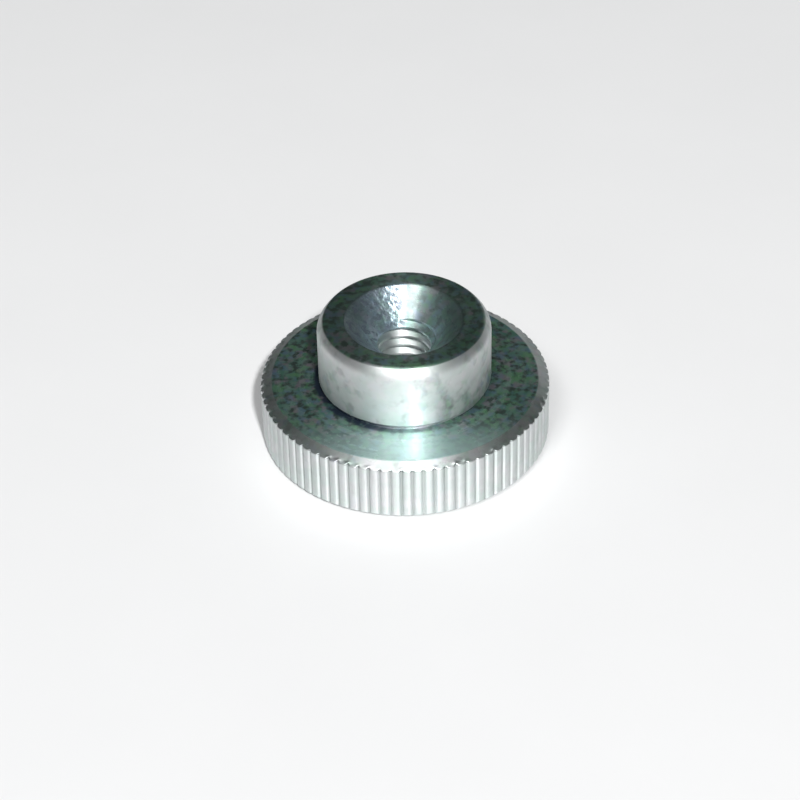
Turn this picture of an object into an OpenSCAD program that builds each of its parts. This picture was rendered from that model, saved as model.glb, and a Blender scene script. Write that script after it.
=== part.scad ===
// Knurled thumb nut, turned from one piece of bar: a wide knurled flange, a plain
// round collar and a threaded hole with a deep countersink in the collar's end.
// It stands on the flange with the collar up. The thread axis is Z, the flange's
// outer face is on z = 0, and all sizes are in millimetres.

/* [Flange] */

// Diameter over the knurl
flange_d = 26.8; // [25:0.1:32]
// Height of the flange's flat shoulder
flange_t = 5.9; // [3:0.1:7]
// Width of the bevel between the shoulder and the knurl
bevel_w = 1.1; // [0.4:0.1:2]
// Drop of that bevel at the knurl
bevel_drop = 0.5; // [0.2:0.1:1]
// Chamfer around the flange's lower edge
lower_chamfer = 0.4; // [0.1:0.1:0.8]

/* [Knurl] */

// Number of straight grooves around the rim
knurl_count = 84; // [60:4:96]
// Depth of each groove
knurl_depth = 0.2; // [0.15:0.05:0.4]
// Width of each groove at its mouth
knurl_groove_w = 0.45; // [0.3:0.05:0.7]

/* [Collar] */

// Diameter of the collar
collar_d = 16; // [15:0.1:18]
// Height of the whole nut
total_h = 12.5; // [11:0.1:16]
// Width of the bevel around the collar's end
collar_bevel_w = 0.6; // [0.2:0.1:1]
// Height of that bevel
collar_bevel_h = 0.8; // [0.2:0.1:1.2]
// Depth of the relief turned at the collar's foot
relief_depth = 0.2; // [0.05:0.05:0.4]
// Height of that relief
relief_h = 0.4; // [0.1:0.05:0.6]

/* [Thread] */

// Nominal diameter of the thread
thread_d = 6; // [5:0.5:6]
// Pitch of the thread
thread_pitch = 1; // [0.8:0.05:1]
// Diameter of the countersink's mouth in the collar's end
sink_mouth_d = 11; // [8:0.1:12]
// Included angle of both countersinks
sink_angle = 90; // [80:1:120]
// Diameter of the small countersink in the flange's outer face
outer_sink_d = 6.6; // [6.4:0.1:8]

/* [Hidden] */

// Smoothness of the round surfaces
$fn = 180;
// How far a cutter reaches past the surface it cuts
past = 0.5;
// Height of a sharp 60 degree thread, and the share of it that an internal thread keeps
sharp_h = thread_pitch * sqrt(3) / 2;
thread_depth = 5 / 8 * sharp_h;
// Widths of one thread groove at its root and at the hole's wall
root_w = thread_pitch / 8;
mouth_w = thread_pitch * 3 / 4;

flange_r = flange_d / 2;
collar_r = collar_d / 2;
sink_r = sink_mouth_d / 2;
outer_sink_r = outer_sink_d / 2;
hole_r = thread_d / 2 - thread_depth;
sink_slope = tan(sink_angle / 2);
sink_floor_z = total_h - (sink_r - hole_r) / sink_slope;
outer_sink_h = (outer_sink_r - hole_r) / sink_slope;
groove_turns = floor(total_h / thread_pitch);

// Half of the nut's outline, from the axis outwards and up, before anything is cut.
module outline() {
    polygon([
        [0, 0],
        [flange_r - lower_chamfer, 0],
        [flange_r, lower_chamfer],
        [flange_r, flange_t - bevel_drop],
        [flange_r - bevel_w, flange_t],
        [collar_r - relief_depth, flange_t],
        [collar_r - relief_depth, flange_t + relief_h / 2],
        [collar_r, flange_t + relief_h],
        [collar_r, total_h - collar_bevel_h],
        [collar_r - collar_bevel_w, total_h],
        [0, total_h]
    ]);
}

// One straight V groove of the knurl, on the +X side.
module knurl_groove() {
    bottom_r = flange_r - knurl_depth;
    half_w = knurl_groove_w / 2 * (knurl_depth + past) / knurl_depth;
    translate([0, 0, -past])
        linear_extrude(height = flange_t + 2 * past)
            polygon([
                [bottom_r, 0],
                [flange_r + past, -half_w],
                [flange_r + past, half_w]
            ]);
}

// All the grooves, spaced so that a land lies on each main axis.
module knurl() {
    for (i = [0 : knurl_count - 1])
        rotate([0, 0, (i + 0.5) * 360 / knurl_count])
            knurl_groove();
}

// The hole, with a countersink at each end. Both countersinks run on past the end they open.
module hole() {
    translate([0, 0, -past])
        cylinder(h = total_h + 2 * past, r = hole_r);
    translate([0, 0, sink_floor_z])
        cylinder(h = total_h - sink_floor_z + past, r1 = hole_r, r2 = sink_r + past * sink_slope);
    translate([0, 0, -past])
        cylinder(h = outer_sink_h + past, r1 = outer_sink_r + past * sink_slope, r2 = hole_r);
}

// The thread's grooves as closed rings: right pitch, depth and 60 degree flanks.
module thread_grooves() {
    for (k = [1 : groove_turns - 1])
        translate([0, 0, k * thread_pitch])
            rotate_extrude()
                polygon([
                    [hole_r - root_w, -mouth_w / 2],
                    [hole_r, -mouth_w / 2],
                    [hole_r + thread_depth, -root_w / 2],
                    [hole_r + thread_depth, root_w / 2],
                    [hole_r, mouth_w / 2],
                    [hole_r - root_w, mouth_w / 2]
                ]);
}

// The whole nut.
module thumb_nut() {
    color([0.74, 0.76, 0.75])
        difference() {
            rotate_extrude()
                outline();
            knurl();
            hole();
            thread_grooves();
        }
}

thumb_nut();
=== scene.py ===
import math

import bpy
import numpy as np
from mathutils import Matrix, Vector


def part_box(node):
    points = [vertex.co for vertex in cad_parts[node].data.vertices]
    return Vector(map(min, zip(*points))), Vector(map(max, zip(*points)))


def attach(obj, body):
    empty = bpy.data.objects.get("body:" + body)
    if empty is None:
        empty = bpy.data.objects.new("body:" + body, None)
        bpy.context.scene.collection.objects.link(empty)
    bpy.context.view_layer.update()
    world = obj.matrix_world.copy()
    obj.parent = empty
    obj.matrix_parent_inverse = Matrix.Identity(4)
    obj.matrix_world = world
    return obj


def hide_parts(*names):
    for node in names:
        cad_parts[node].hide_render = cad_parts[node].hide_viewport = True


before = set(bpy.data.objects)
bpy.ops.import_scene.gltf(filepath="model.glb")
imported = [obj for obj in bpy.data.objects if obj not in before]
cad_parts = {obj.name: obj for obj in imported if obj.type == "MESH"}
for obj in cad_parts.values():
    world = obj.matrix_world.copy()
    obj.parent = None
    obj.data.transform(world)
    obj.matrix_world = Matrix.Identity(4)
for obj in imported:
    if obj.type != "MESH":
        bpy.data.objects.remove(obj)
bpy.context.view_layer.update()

# The nut is worked out in millimetres and written to its mesh in metres.
MM = 0.001
TURN = 2 * math.pi

# Every random draw starts from here, so each run gives the same nut.
SEED = 12

# Main sizes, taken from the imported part
low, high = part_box("thumb_nut")
RIM_R = (high.x - low.x) / 2 / MM
TOP_Z = high.z / MM

# Flange
SHOULDER_Z = 5.9
SHOULDER_R = 12.3
BEVEL_Z = 5.4
BEVEL_SLOPE = (SHOULDER_Z - BEVEL_Z) / (RIM_R - SHOULDER_R)
LOWER_CHAMFER = 0.4

# Collar
COLLAR_R = 8.0
COLLAR_END_R = 7.4
COLLAR_EDGE_Z = TOP_Z - 0.8
RELIEF_R = 7.8
RELIEF_Z = 6.3

# Thread: a basic metric profile, its crests cut off by a quarter of the pitch and its roots by an eighth
THREAD_R = 3.0
PITCH = 1.0
THREAD_DEPTH = 5 / 8 * math.sqrt(3) / 2 * PITCH
HOLE_R = THREAD_R - THREAD_DEPTH
CREST_HALF = 1 / 8
ROOT_HALF = 1 / 16
FIRST_CREST_Z = 0.40
TURNS_BELOW, TURNS_ABOVE = 2, 12
THREAD_ROWS = (0, 0.10, 0.13, 0.17, 0.28, 0.40, 0.45, 0.55, 0.60, 0.72, 0.83, 0.87, 0.90)

# Countersinks: radius at the mouth, and radius lost for each millimetre of depth
SINK_R = 5.5
SINK_SLOPE = 1.11
OUTER_SINK_R = 3.3
OUTER_SINK_SLOPE = 1.0

# The two meshes that make the nut meet here, part way down the cone and just inside the outer face
CONE_JOIN_Z = TOP_Z - 2.0
OUTER_JOIN_Z = 0.02
JOIN_GAP = 0.06

# Knurl
TEETH = 84
KNURL_DEPTH = 0.2
KNURL_UNEVEN = 0.10
GROOVE_HALF = 0.23
LAND_LEAN = 0.05
LAND_LEVEL = 0.27
BURR_HEIGHT = 0.09
BURR_HALF = 0.22
BURR_INSET = 0.30
BURR_SPREAD = 0.09
FOOT_BEAD = 0.08
FOOT_BEAD_SPREAD = 0.06
FOOT_BEAD_RARITY = 40
TOOTH_COLUMNS = (0, 0.23, 0.31, 0.41, 0.5, 0.59, 0.69, 0.77)

# How far each corner of the outline is cut back before it is rounded
UNDER_CUT, RIM_FOOT_CUT, RIM_HEAD_CUT = 0.08, 0.07, 0.04
SHOULDER_CUT, FOOT_CUT, RELIEF_CUT = 0.10, 0.06, 0.05
COLLAR_CUT, END_CUT, MOUTH_CUT = 0.40, 0.24, 0.16

# Rows between corners, as shares of the way from one to the next, and above the relief in millimetres
CHAMFER_ROWS = (0.4, 0.6)
BEVEL_ROWS = (0.12, 0.17, 0.22, 0.27, 0.32, 0.4, 0.55)
CONE_ROWS = (0.5, 0.8, 0.88, 0.94)
GUARD_ROWS = (0.25, 0.35)

# Half-widths of the curves that ease the knurl into the outline and the thread into its countersinks
KNURL_EASE = 0.02
THREAD_EASE = 0.03


# ---------------------------------------------------------------- the surface of the nut


def smaller(a, b, blend):
    """The smaller of a and b; a parabola of half-width blend eases the change from one to the other."""
    near = np.clip(0.5 + 0.5 * (b - a) / blend, 0, 1)
    return b + (a - b) * near - blend * near * (1 - near)


def larger(a, b, blend):
    """The larger of a and b, eased in the same way."""
    return -smaller(-a, -b, blend)


def bell(distance, spread):
    """A bell curve of height 1: e to the minus of the squared distance over the squared spread."""
    return np.exp(-((distance / spread) ** 2))


def eased_outline(corners, steps=5, guard=0.05):
    """A path in radius and height through (radius, height, cut) corners.

    Each inner corner is cut back by its cut along both straight runs and bridged by a quadratic curve
    pulled towards the corner: (1-t)^2 start + 2t(1-t) corner + t^2 end. One more point a guard away from
    each end of the curve keeps the flats flat under smooth shading. A cut of 0 is a plain point."""
    points = np.array([c[:2] for c in corners], float)
    cuts = np.array([c[2] for c in corners], float)
    runs = np.diff(points, axis=0)
    runs /= np.linalg.norm(runs, axis=1)[:, None]
    t = np.linspace(0, 1, steps)[:, None]
    path = [points[:1]]
    for corner, cut, before, after in zip(points[1:-1], cuts[1:-1], runs[:-1], runs[1:]):
        if cut == 0:
            path.append(corner[None])
            continue
        start, end = corner - before * cut, corner + after * cut
        curve = (1 - t) ** 2 * start + 2 * t * (1 - t) * corner + t**2 * end
        path += [(start - before * guard)[None], curve, (end + after * guard)[None]]
    path.append(points[-1:])
    return np.concatenate(path)


def along(start, end, shares):
    """Plain points at shares of the way from start to end."""
    return [(start[0] + k * (end[0] - start[0]), start[1] + k * (end[1] - start[1]), 0) for k in shares]


def nut_outline():
    """The turned outline, from the outer countersink out to the rim, over the collar and into the cone.

    The rows along the lower chamfer and the bevel are close together where the knurl runs out through them,
    and two rows above the relief keep what happens at the collar's foot off the collar's side."""
    rim_low, rim_top = (RIM_R, LOWER_CHAMFER), (RIM_R, BEVEL_Z)
    under, shoulder = (RIM_R - LOWER_CHAMFER, 0.0), (SHOULDER_R, SHOULDER_Z)
    mouth = (SINK_R, TOP_Z)
    cone_join = (SINK_R - SINK_SLOPE * (TOP_Z - CONE_JOIN_Z), CONE_JOIN_Z)
    return eased_outline([
        (OUTER_SINK_R + JOIN_GAP, 0.0, 0),
        (OUTER_SINK_R + 2 * JOIN_GAP, 0.0, 0),
        (*under, UNDER_CUT),
        *along(under, rim_low, CHAMFER_ROWS),
        (*rim_low, RIM_FOOT_CUT),
        (*rim_top, RIM_HEAD_CUT),
        *along(rim_top, shoulder, BEVEL_ROWS),
        (*shoulder, SHOULDER_CUT),
        (RELIEF_R, SHOULDER_Z, FOOT_CUT),
        (RELIEF_R, (SHOULDER_Z + RELIEF_Z) / 2, RELIEF_CUT),
        (COLLAR_R, RELIEF_Z, RELIEF_CUT),
        *((COLLAR_R, RELIEF_Z + rise, 0) for rise in GUARD_ROWS),
        (COLLAR_R, COLLAR_EDGE_Z, COLLAR_CUT),
        (COLLAR_END_R, TOP_Z, END_CUT),
        (*mouth, MOUTH_CUT),
        *along(mouth, cone_join, CONE_ROWS),
    ])


def groove(share):
    """How deep the knurl is at a share of one tooth: 0 on its land, then a straight V down to 1."""
    return np.clip(1 - np.abs(share - 0.5) / GROOVE_HALF, 0, 1)


def outside_of_nut(rng):
    """Everything outside the hole: the outline turned about the axis, and the knurl.

    The radius is the smaller of the outline's own and the knurl's, so the grooves run out through both
    chamfers. The knurl's is the rim less each tooth's groove and less a small slope that tips each land a
    little to one side. Burrs, bell curves of random height, stand where the grooves leave the bevel, and
    rare beads stand out along the collar's foot."""
    outline = nut_outline()
    outline_r, outline_z = outline[:, :1], outline[:, 1:]

    tooth = np.repeat(np.arange(TEETH), len(TOOTH_COLUMNS))
    share = np.tile(TOOTH_COLUMNS, TEETH)
    angle = (tooth + share) / TEETH * TURN
    depth = KNURL_DEPTH * (1 + KNURL_UNEVEN * rng.standard_normal(TEETH))[tooth]
    lean = rng.uniform(-1, 1, TEETH)[tooth] * (np.mod(share + 0.5, 1) - 0.5)
    knurl_r = RIM_R - depth * groove(share) - LAND_LEAN * (LAND_LEVEL + lean).clip(0)
    radius = np.minimum(smaller(outline_r, knurl_r[None], KNURL_EASE), RIM_R)

    run_out = bell(outline_r - RIM_R + BURR_INSET, BURR_SPREAD) * (outline_z > BEVEL_Z)
    burr = (BURR_HEIGHT * rng.random(TEETH) ** 3)[tooth] * bell(share - 0.5, BURR_HALF)
    at_foot = bell(outline_z - RELIEF_Z - FOOT_BEAD_SPREAD / 2, FOOT_BEAD_SPREAD)
    at_foot = at_foot * (np.abs(outline_r - COLLAR_R) < 2 * RELIEF_CUT)
    bead = FOOT_BEAD * rng.random(len(angle)) ** FOOT_BEAD_RARITY
    return radius + at_foot * bead[None], outline_z + run_out * burr[None], angle


def hole_of_nut():
    """The threaded hole and the foot of its cone.

    The rows follow the helix, one pitch higher for each turn to the left seen from above, which makes the
    thread right-hand. The radius is the largest of the thread's and of the two countersinks'. The thread's
    is the hole's wall plus a trapezium with 60 degrees between its flanks, flat at the crest and at the
    root. Heights past either end are held there, so those rows close up."""
    columns = 2 * TEETH
    climb = (np.arange(-TURNS_BELOW, TURNS_ABOVE)[:, None] + np.array(THREAD_ROWS)[None]).ravel()
    angle = np.arange(columns) / columns * TURN
    z = FIRST_CREST_Z + PITCH * (climb[:, None] + angle[None] / TURN)
    z = np.clip(z, OUTER_JOIN_Z, CONE_JOIN_Z)
    share = np.mod((z - FIRST_CREST_Z) / PITCH - angle[None] / TURN, 1)
    flank = (0.5 - CREST_HALF - np.abs(share - 0.5)) / (0.5 - CREST_HALF - ROOT_HALF)
    thread = HOLE_R + THREAD_DEPTH * np.clip(flank, 0, 1)
    cone = SINK_R - SINK_SLOPE * (TOP_Z - z)
    outer_cone = OUTER_SINK_R - OUTER_SINK_SLOPE * z
    radius = larger(larger(thread, cone, THREAD_EASE), outer_cone, THREAD_EASE)
    return radius, z, angle, len(THREAD_ROWS)


def in_space(radius, z, angle):
    """Points in metres from radius, height and angle."""
    spot = np.stack([radius * np.cos(angle), radius * np.sin(angle), z], axis=-1)
    return spot.reshape(-1, 3) * MM


def halves(a, b, c, d):
    """Two triangles for each four-cornered cell."""
    return np.concatenate([np.stack([a, b, c], -1).reshape(-1, 3), np.stack([a, c, d], -1).reshape(-1, 3)])


def ring_cells(rows, columns, first, climb=0):
    """Triangles of a grid closed round its columns; past the last column it goes on climb rows higher."""
    index = first + np.arange(rows * columns).reshape(rows, columns)
    cells = halves(index[:-1, :-1], index[:-1, 1:], index[1:, 1:], index[1:, :-1])
    last, begin = index[: rows - climb, -1], index[climb:, 0]
    return np.concatenate([cells, halves(last[:-1], begin[:-1], begin[1:], last[1:])])


def joined_rings(coarse, fine):
    """Triangles between a ring of points and one with four times as many."""
    near, far = coarse, np.roll(coarse, -1)
    start, early, middle, late = fine.reshape(-1, 4).T
    end = np.roll(start, -1)
    fans = [(near, start, early), (near, early, middle), (near, middle, far), (far, middle, late),
            (far, late, end)]
    return np.concatenate([np.stack(corners, -1) for corners in fans])


def nut_mesh(name):
    """One closed skin: the outside grid, the hole's grid and the two rings of triangles that join them.

    Points that coincide are merged, and triangles that lose a side by it are dropped. Six times the
    signed volume is the sum of each triangle's a . (b x c), and its sign says which way the faces point."""
    rng = np.random.default_rng(SEED)
    out_r, out_z, out_angle = outside_of_nut(rng)
    in_r, in_z, in_angle, climb = hole_of_nut()
    out_points, in_points = in_space(out_r, out_z, out_angle), in_space(in_r, in_z, in_angle)
    out_rows, out_columns = out_r.shape
    in_rows, in_columns = in_r.shape
    first_in = len(out_points)
    last_out = (out_rows - 1) * out_columns
    last_in = first_in + (in_rows - 1) * in_columns
    triangles = np.concatenate([
        ring_cells(out_rows, out_columns, 0),
        ring_cells(in_rows, in_columns, first_in, climb)[:, ::-1],
        joined_rings(first_in + np.arange(in_columns), np.arange(out_columns))[:, ::-1],
        joined_rings(last_in + np.arange(in_columns), last_out + np.arange(out_columns)),
    ])
    points, now = np.unique(np.concatenate([out_points, in_points]), axis=0, return_inverse=True)
    triangles = now.reshape(-1)[triangles]
    whole = (np.diff(triangles, axis=1, append=triangles[:, :1]) != 0).all(axis=1)
    triangles = triangles[whole]
    a, b, c = (points[triangles[:, k]] for k in range(3))
    if (a * np.cross(b, c)).sum() < 0:
        triangles = triangles[:, ::-1]
    mesh = bpy.data.meshes.new(name)
    mesh.from_pydata(points.tolist(), [], triangles.tolist())
    mesh.polygons.foreach_set("use_smooth", np.ones(len(triangles), bool))
    mesh.update()
    return mesh


# ---------------------------------------------------------------- materials

# Where each finish starts or stops: the place in millimetres, and half the width it fades over
END_FACE = (TOP_Z - 0.10, 0.06)
BEVEL_FOOT = (BEVEL_Z + 0.01, 0.03)
BEVEL_HEAD = (SHOULDER_Z - 0.04, 0.02)
SHOULDER_HEAD = (SHOULDER_Z + 0.045, 0.015)
FOOT_FLOOR = (SHOULDER_Z - 0.035, 0.015)
FOOT_HEAD = (RELIEF_Z + 0.05, 0.05)
FOOT_REACH = (COLLAR_R + 0.425, 0.175)
CONE_FOOT = (TOP_Z - 3.2, 0.3)
CONE_MOUTH = (SINK_R, 0.1)
RIM_SKIN = (RIM_R - 0.425, 0.075)
RIM_HEAD = (BEVEL_Z - 0.04, 0.06)
GROOVE_TOP = (RIM_R - 0.14, 0.05)
RUN_OUT_DEPTH = (0.045, 0.025)
RUN_OUT_REACH = (RIM_R - 0.6, 0.1)
WORN_EDGE = (0.0, 0.8)
SHOULDER_FRONT_EDGE = (-8.25, 2.75)
LEFT_EDGE = (-2.0, 2.5)
KNOCKED_EDGE = (3.0, 1.5)
KNOCKED_HEAD = (9.0, 1.5)
KNOCKED_FOOT = (RELIEF_Z, 0.1)
COLLAR_SKIN = (COLLAR_R + 0.2, 0.1)
CONE_FLANK = (3.6, 1.0)

# Colours of the plating where it is clean and where it is tarnished
CLEAN_COOL = (0.78, 0.83, 0.82, 1)
CLEAN_WARM = (0.84, 0.85, 0.86, 1)
DEEP_TEAL = (0.10, 0.30, 0.22, 1)
SOFT_TEAL = (0.21, 0.41, 0.33, 1)

# A coat is how strong it is and its colour. The tarnish in one place each:
CONE_COAT = (0.30, (0.42, 0.62, 0.62, 1))
WORN_COAT = (0.40, (0.34, 0.40, 0.62, 1))
SHOULDER_FRONT_COAT = (0.75, (0.48, 0.68, 0.66, 1))
RING_COAT = (0.20, (0.52, 0.66, 0.64, 1))
END_COAT = (0.50, (0.06, 0.10, 0.08, 1))

# Dirt, and painted shade: on the cone's flanks, in the knurl's run-out and groove floors, and at the
# collar's foot
CONE_FLANK_SHADE = (0.60, (0.10, 0.14, 0.13, 1))
RUN_OUT_SHADE = (0.85, (0.03, 0.04, 0.05, 1))
PIT_DIRT = (0.60, (0.16, 0.18, 0.24, 1))
GROOVE_SHADE = (0.60, (0.36, 0.39, 0.38, 1))
WHEEL_DIRT = (0.35, (0.55, 0.56, 0.56, 1))
FOOT_PAINTED_SHADE = (1.00, (0.05, 0.07, 0.12, 1))
FOOT_SHADE_BASE, FOOT_SHADE_LEFT = 0.25, 0.70

# Patches are a noise of their own: its shift, its scale for each metre, and the levels they fade between.
# Tarnish is laid over the teal in this order: leaf green, dusty violet, steel blue and dark spots.
TARNISH = (
    (((0.3, 0.1, 0.2), 800, 0.44, 0.64), (1.0, (0.16, 0.42, 0.20, 1))),
    (((0.7, 0.5, 0.1), 850, 0.48, 0.66), (0.7, (0.42, 0.28, 0.40, 1))),
    (((0.2, 0.8, 0.6), 900, 0.48, 0.66), (0.6, (0.18, 0.28, 0.50, 1))),
    (((0.9, 0.4, 0.3), 1500, 0.44, 0.66), (1.0, (0.04, 0.08, 0.065, 1))),
)
CLEAN_PATCHES = ((0.1, 0.3, 0.2), 500, 0.40, 0.60)
TEAL_PATCHES = ((0.5, 0.2, 0.9), 600, 0.35, 0.65)
SMUDGE_PATCHES = ((0.6, 0.1, 0.4), 700, 0.48, 0.66)
KNOCK_PATCHES = ((0.1, 0.7, 0.2), 650, 0.38, 0.60)

# Noises: scale for each metre, detail and roughness
FINE_RINGS = (9000, 3, 0.6)
BROAD_RINGS = (1500, 2, 0.5)
WHEEL_MARKS = (2600, 3, 0.6)
TOOTH_STRETCH = (1, 1, 0.12)
CLOUDS = (420, 4, 0.6)
BLOTS = (1700, 2, 0.5)
SCUFFS = (350, 2, 0.5)
FOOT_SHADE_NOISE = (600, 3, 0.6)

# Levels that a noise fades between: below the first it leaves no mark, above the second a full one
RING_LEVELS = (0.35, 0.70)
WHEEL_LEVELS = (0.50, 0.75)
PIT_LEVELS = (0.54, 0.62)
SCUFF_LEVELS = (0.66, 0.76)
FOOT_SHADE_NOISE_LEVELS = (0.36, 0.50)
SCUFF_PITS = 0.2

# How much of each finish is tarnished, and how much the clean plating around it is
CONE_TARNISH, BEVEL_TARNISH, FULL_TARNISH = 0.85, 0.15, 0.95
FAINT_TARNISH, SMUDGE_TARNISH, KNOCK_TARNISH = 0.10, 0.25, 0.4
BRIGHT_TARNISH = 0.3

# How rough the bright plating is, and what is added or taken off where each finish is. The collar's end
# counts as a flat too.
PLATING_ROUGHNESS = 0.32
FLAT_SMOOTHER, END_SMOOTHER, CONE_SMOOTHER, BEVEL_SMOOTHER = 0.06, 0.07, 0.04, 0.06
RIM_ROUGHER, PIT_ROUGHER, SATIN_ROUGHER = 0.06, 0.15, 0.22
CLOUD_SWING, RING_SWING = 0.16, 0.08

# Relief of the marks, and the metal's two sheens: a wide satin one and a narrow bright one. Turning marks
# run round the axis, so both sheens are drawn out across them, a quarter turn from the marks.
RING_RELIEF, BLOT_RELIEF, WHEEL_RELIEF = 0.5, 10, 1.2
BUMP_STRENGTH, BUMP_DEPTH = 0.35, 0.03 * MM
SATIN_DRAWN, BRIGHT_DRAWN, ACROSS_MARKS = 0.65, 0.8, 0.25
BRIGHT_SHARE = 0.14
OXIDE_EVERYWHERE, OXIDE_ON_DULL = 0.02, 0.14


class Value:
    """A shader socket that can be used in ordinary sums; each sum adds its Math node."""

    def __init__(self, shop, socket):
        self.shop, self.socket = shop, socket

    def sum_of(self, kind, a, b):
        return self.shop.node("Math", {"operation": kind}, {0: a, 1: b})

    def __add__(self, other): return self.sum_of("ADD", self, other)
    def __radd__(self, other): return self.sum_of("ADD", other, self)
    def __sub__(self, other): return self.sum_of("SUBTRACT", self, other)
    def __rsub__(self, other): return self.sum_of("SUBTRACT", other, self)
    def __mul__(self, other): return self.sum_of("MULTIPLY", self, other)
    def __rmul__(self, other): return self.sum_of("MULTIPLY", other, self)
    def __pow__(self, other): return self.sum_of("POWER", self, other)


class Shop:
    """The node tree of one material or world."""

    def __init__(self, owner):
        owner.use_nodes = True
        self.tree = owner.node_tree
        self.tree.nodes.clear()

    def node(self, kind, settings=None, inputs=None, out=0):
        """Adds one node, sets its settings, then its sockets by name or number, and returns an output."""
        made = self.tree.nodes.new("ShaderNode" + kind)
        for key, value in (settings or {}).items():
            setattr(made, key, value)
        for key, value in (inputs or {}).items():
            if isinstance(value, Value):
                self.tree.links.new(value.socket, made.inputs[key])
            else:
                made.inputs[key].default_value = value
        return Value(self, made.outputs[out]) if made.outputs else None

    def between(self, value, low_edge, high_edge):
        """0 below low_edge, 1 above high_edge and a smooth step from one to the other."""
        return self.node("MapRange", {"interpolation_type": "SMOOTHSTEP"},
                         {"Value": value, "From Min": low_edge, "From Max": high_edge})

    def past(self, value, edge):
        """0 before an edge and 1 past it, where the edge is a place and half a width in millimetres."""
        place, half = edge
        return self.between(value, (place - half) * MM, (place + half) * MM)

    def noise(self, place, kind):
        scale, detail, roughness = kind
        return self.node("TexNoise", {}, {"Vector": place, "Scale": scale, "Detail": detail,
                                          "Roughness": roughness})

    def patches(self, place, shift, scale, low_level, high_level):
        """Soft-edged patches of a noise of its own."""
        moved = self.node("Mapping", {}, {"Vector": place, "Location": shift})
        return self.between(self.noise(moved, (scale, 2, 0.5)), low_level, high_level)

    def mixed(self, factor, first, second):
        """A colour part of the way from first to second."""
        return self.node("Mix", {"data_type": "RGBA"}, {0: factor, 6: first, 7: second}, out=2)

    def coated(self, colour, where, coat):
        """The colour with a coat laid over it where the mask is 1."""
        strength, shade = coat
        return self.mixed(where * strength, colour, shade)


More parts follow.
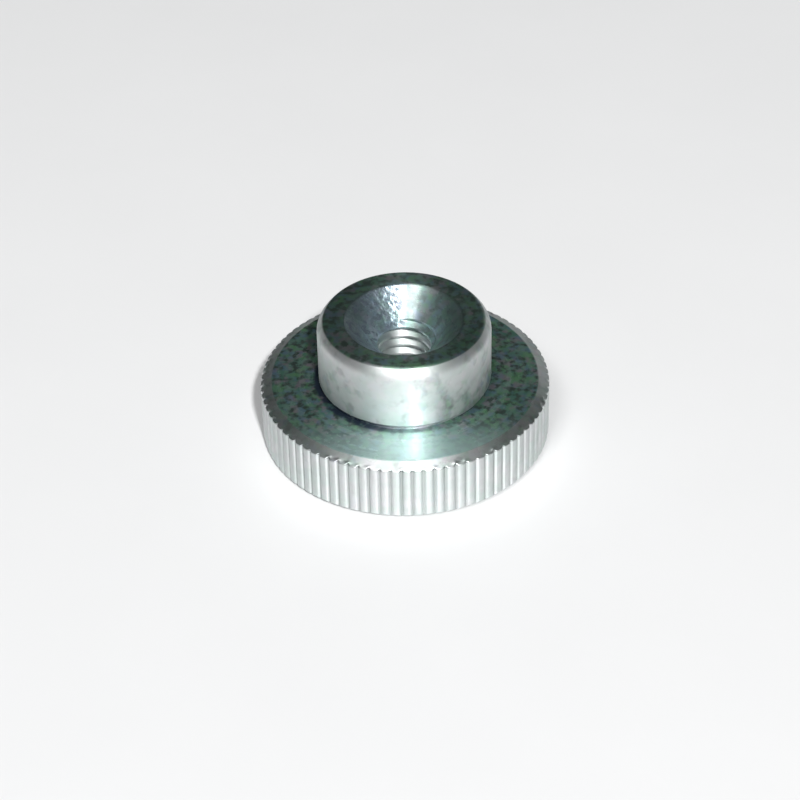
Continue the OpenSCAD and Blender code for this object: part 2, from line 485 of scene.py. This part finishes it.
def zinc_plate():
    """Turned steel with bright zinc plating: circular tool marks, tarnish in teal, green, violet and blue,
    a cone pitted on its left, smudges on the collar, and painted shade on the cone's flanks, in the knurl's
    run-out and grooves and at the collar's foot."""
    metal = bpy.data.materials.new("zinc_plated_steel")
    s = Shop(metal)
    place = s.node("TexCoord", out=3)
    apart = s.node("SeparateXYZ", {}, {0: place})
    x, y, z = (Value(s, apart.socket.node.outputs[k]) for k in range(3))
    r = (x * x + y * y) ** 0.5
    from_middle = (x * x) ** 0.5

    # Where each finish is
    on_end = s.past(z, END_FACE)
    over_bevel = s.past(z, BEVEL_HEAD)
    on_bevel = s.past(z, BEVEL_FOOT) * (1 - over_bevel)
    on_shoulder = over_bevel * (1 - s.past(z, SHOULDER_HEAD))
    in_foot = s.past(z, FOOT_FLOOR) * (1 - s.past(z, FOOT_HEAD)) * (1 - s.past(r, FOOT_REACH))
    in_cone = s.past(z, CONE_FOOT) * (1 - s.past(r, CONE_MOUTH))
    over_rim = s.past(z, RIM_HEAD)
    on_rim = s.past(r, RIM_SKIN) * (1 - over_rim)
    in_groove = on_rim * (1 - s.past(r, GROOVE_TOP))
    worn = in_cone * (1 - s.past(x, WORN_EDGE))
    shoulder_front = on_shoulder * (1 - s.past(y, SHOULDER_FRONT_EDGE))
    knocked = s.past(x, KNOCKED_EDGE) * (1 - s.past(z, KNOCKED_HEAD)) * s.past(z, KNOCKED_FOOT) * (
        1 - s.past(r, COLLAR_SKIN))
    flat = on_end + on_shoulder
    dull = s.node("Math", {"operation": "MAXIMUM"}, {0: flat, 1: in_cone * CONE_TARNISH})
    dull = dull + on_bevel * BEVEL_TARNISH

    # Where the knurl's grooves cut below the bevel's own cone
    bevel_top = (BEVEL_Z + BEVEL_SLOPE * RIM_R) * MM - BEVEL_SLOPE * r
    run_out = s.past(bevel_top - z, RUN_OUT_DEPTH) * over_rim * s.past(r, RUN_OUT_REACH)

    # Tool marks are noise of radius and height only, so they go round in rings. The marks of the knurling
    # wheel are noise drawn out along the teeth.
    round_place = s.node("CombineXYZ", {}, {0: r, 1: z})
    fine_rings = s.noise(round_place, FINE_RINGS)
    broad_rings = s.noise(round_place, BROAD_RINGS)
    wheel_marks = s.noise(s.node("Mapping", {}, {"Vector": place, "Scale": TOOTH_STRETCH}), WHEEL_MARKS)
    clouds = s.noise(place, CLOUDS)

    # Clean plating, and tarnish laid over it
    clean = s.mixed(s.patches(place, *CLEAN_PATCHES), CLEAN_COOL, CLEAN_WARM)
    stained = s.mixed(s.patches(place, *TEAL_PATCHES), DEEP_TEAL, SOFT_TEAL)
    for patches, coat in TARNISH:
        stained = s.coated(stained, s.patches(place, *patches), coat)
    stained = s.coated(stained, in_cone, CONE_COAT)
    stained = s.coated(stained, worn, WORN_COAT)
    # The shoulder is made lighter towards the front
    stained = s.coated(stained, shoulder_front, SHOULDER_FRONT_COAT)
    stained = s.coated(stained, flat * s.between(broad_rings, *RING_LEVELS), RING_COAT)
    stained = s.coated(stained, on_end, END_COAT)
    smudge = s.patches(place, *SMUDGE_PATCHES) * (1 - on_rim) * SMUDGE_TARNISH + FAINT_TARNISH
    smudge = smudge + knocked * s.patches(place, *KNOCK_PATCHES) * KNOCK_TARNISH
    tint = s.mixed(dull * FULL_TARNISH + (1 - dull) * smudge, clean, stained)
    bright_tint = s.mixed(dull * BRIGHT_TARNISH, clean, stained)

    # Pits are blots where the cone is worn, and a few elsewhere
    blots = s.noise(place, BLOTS)
    pitted = s.between(s.noise(place, SCUFFS), *SCUFF_LEVELS) * SCUFF_PITS + worn
    pit = s.between(blots, *PIT_LEVELS) * pitted
    # Painted shade in the relief at the collar's foot: patchy, and deeper on the left
    left_foot_shade = s.between(s.noise(place, FOOT_SHADE_NOISE), *FOOT_SHADE_NOISE_LEVELS) * (1 - s.past(x, LEFT_EDGE))
    foot_shade = in_foot * (left_foot_shade * FOOT_SHADE_LEFT + FOOT_SHADE_BASE)

    def soiled_and_shaded(colour):
        """The colour with painted shade on the cone's flanks, in the knurl's run-out and grooves and at the
        collar's foot, with dark pits and the knurling wheel's marks.
        """
        # Painted shade: the cone darkened left and right of its middle, where its reflection goes dark
        colour = s.coated(colour, in_cone * s.past(from_middle, CONE_FLANK), CONE_FLANK_SHADE)
        # Painted shade: the knurl's run-out notches in the bevel made near black
        colour = s.coated(colour, run_out, RUN_OUT_SHADE)
        colour = s.coated(colour, pit, PIT_DIRT)
        # Painted shade: the floors of the knurl's grooves made darker
        colour = s.coated(colour, in_groove, GROOVE_SHADE)
        colour = s.coated(colour, on_rim * s.between(wheel_marks, *WHEEL_LEVELS), WHEEL_DIRT)
        # Painted shade at the collar's foot
        return s.coated(colour, foot_shade, FOOT_PAINTED_SHADE)

    roughness = PLATING_ROUGHNESS - flat * FLAT_SMOOTHER - on_end * END_SMOOTHER
    roughness = roughness - in_cone * CONE_SMOOTHER - on_bevel * BEVEL_SMOOTHER + on_rim * RIM_ROUGHER
    roughness = roughness + (clouds - 0.5) * CLOUD_SWING + (broad_rings - 0.5) * RING_SWING
    roughness = roughness + pit * PIT_ROUGHER

    height = (fine_rings + broad_rings) * RING_RELIEF + blots * pitted * BLOT_RELIEF
    height = height + wheel_marks * on_rim * WHEEL_RELIEF
    bump = s.node("Bump", {}, {"Strength": BUMP_STRENGTH, "Distance": BUMP_DEPTH, "Height": height})
    satin = s.node("BsdfPrincipled", {}, {
        "Base Color": soiled_and_shaded(tint), "Metallic": 1 - OXIDE_EVERYWHERE - dull * OXIDE_ON_DULL,
        "Roughness": roughness + SATIN_ROUGHER, "Normal": bump,
        "Anisotropic": SATIN_DRAWN, "Anisotropic Rotation": ACROSS_MARKS,
    })
    bright = s.node("BsdfPrincipled", {}, {
        "Base Color": soiled_and_shaded(bright_tint), "Metallic": 1.0, "Roughness": roughness, "Normal": bump,
        "Anisotropic": BRIGHT_DRAWN, "Anisotropic Rotation": ACROSS_MARKS,
    })
    both = s.node("MixShader", {}, {0: BRIGHT_SHARE, 1: satin, 2: bright})
    s.node("OutputMaterial", {}, {0: both})
    return metal


CARD_GRAIN = (60, 3, 0.5)
CARD_DARK = (0.79, 0.79, 0.795, 1)
CARD_PALE = (0.82, 0.82, 0.825, 1)
CARD_ROUGHNESS, CARD_GLOSS = 0.9, 0.1


def white_card():
    """Matt white card with a very faint grain."""
    card = bpy.data.materials.new("white_card")
    s = Shop(card)
    grain = s.noise(s.node("TexCoord", out=3), CARD_GRAIN)
    surface = s.node("BsdfPrincipled", {}, {
        "Base Color": s.mixed(grain, CARD_DARK, CARD_PALE),
        "Roughness": CARD_ROUGHNESS, "Specular IOR Level": CARD_GLOSS,
    })
    s.node("OutputMaterial", {}, {0: surface})
    return card


# ---------------------------------------------------------------- the nut and its stage


def placed(name, mesh, material):
    """A new object of a mesh with one material, at the origin."""
    piece = bpy.data.objects.new(name, mesh)
    bpy.context.scene.collection.objects.link(piece)
    mesh.materials.append(material)
    return piece


nut = placed("knurled_thumb_nut", nut_mesh("knurled_thumb_nut"), zinc_plate())
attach(nut, "root")
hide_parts("thumb_nut")

FLOOR_HALF = 1.5
floor_mesh = bpy.data.meshes.new("floor")
floor_mesh.from_pydata(
    [(-FLOOR_HALF, -FLOOR_HALF, 0), (FLOOR_HALF, -FLOOR_HALF, 0),
     (FLOOR_HALF, FLOOR_HALF, 0), (-FLOOR_HALF, FLOOR_HALF, 0)], [], [(0, 1, 2, 3)])
placed("floor", floor_mesh, white_card())


# ---------------------------------------------------------------- camera and light

VIEW_DOWN = math.radians(37.61)
VIEW_ROLL = math.radians(-1.24)
VIEW_DISTANCE = 243.6 * MM
LENS_MM = 118.2
SENSOR_MM = 36
NEAREST = 10 * MM
MIDDLE = Vector((0, 0, 6.03 * MM))
AIM_RIGHT, AIM_UP = -0.454 * MM, -2.33 * MM


def facing(position, target, roll=0.0):
    """A placement at position that looks at target, turned about the line of sight by roll."""
    ahead = (target - position).normalized()
    right = ahead.cross(Vector((0, 0, 1))).normalized()
    up = right.cross(ahead)
    c, s = math.cos(roll), math.sin(roll)
    right, up = c * right + s * up, c * up - s * right
    turn = Matrix((right, up, -ahead)).transposed().to_4x4()
    return Matrix.Translation(position) @ turn


camera = bpy.data.objects.new("camera", bpy.data.cameras.new("camera"))
bpy.context.scene.collection.objects.link(camera)
bpy.context.scene.camera = camera
camera.data.sensor_width = SENSOR_MM
camera.data.lens = LENS_MM
camera.data.clip_start = NEAREST
stand = MIDDLE + VIEW_DISTANCE * Vector((0, -math.cos(VIEW_DOWN), math.sin(VIEW_DOWN)))
level = facing(stand, MIDDLE, VIEW_ROLL)
aim = MIDDLE + level.to_3x3() @ Vector((AIM_RIGHT, AIM_UP, 0))
camera.matrix_world = facing(stand, aim, VIEW_ROLL)


def heading(right_deg, up_deg):
    """A direction so many degrees to the right of the camera's side of the nut and so many up."""
    right, up = math.radians(right_deg), math.radians(up_deg)
    return Vector((math.sin(right) * math.cos(up), -math.cos(right) * math.cos(up), math.sin(up)))


# Square lights that face the nut: direction, distance and size in metres, and power in watts
LIGHTS = {
    "small_lamp": (heading(12, 44), 1.0, 0.06, 10.0),
    "left_window": (heading(-27, 54), 1.0, 0.32, 3.2),
    "pale_ceiling": (Vector((-0.06, 0.05, 1.0)), 0.8, 0.42, 0.8),
    "back_wall": (Vector((0.5, 0.85, 0.26)), 1.2, 0.7, 0.55),
}
for name, (towards, distance, size, power) in LIGHTS.items():
    light = bpy.data.lights.new(name, "AREA")
    light.shape, light.size, light.energy = "SQUARE", size, power
    lamp = bpy.data.objects.new(name, light)
    bpy.context.scene.collection.objects.link(lamp)
    lamp.matrix_world = facing(towards.normalized() * distance, Vector((0, 0, 0)))

DARK_ROOM = (0.006, 0.012, 0.010, 1)
world = bpy.data.worlds.new("dark_room")
bpy.context.scene.world = world
room = Shop(world)
room.node("OutputWorld", {}, {0: room.node("Background", {}, {"Color": DARK_ROOM, "Strength": 1.0})})

bpy.context.scene.view_settings.view_transform = "Standard"
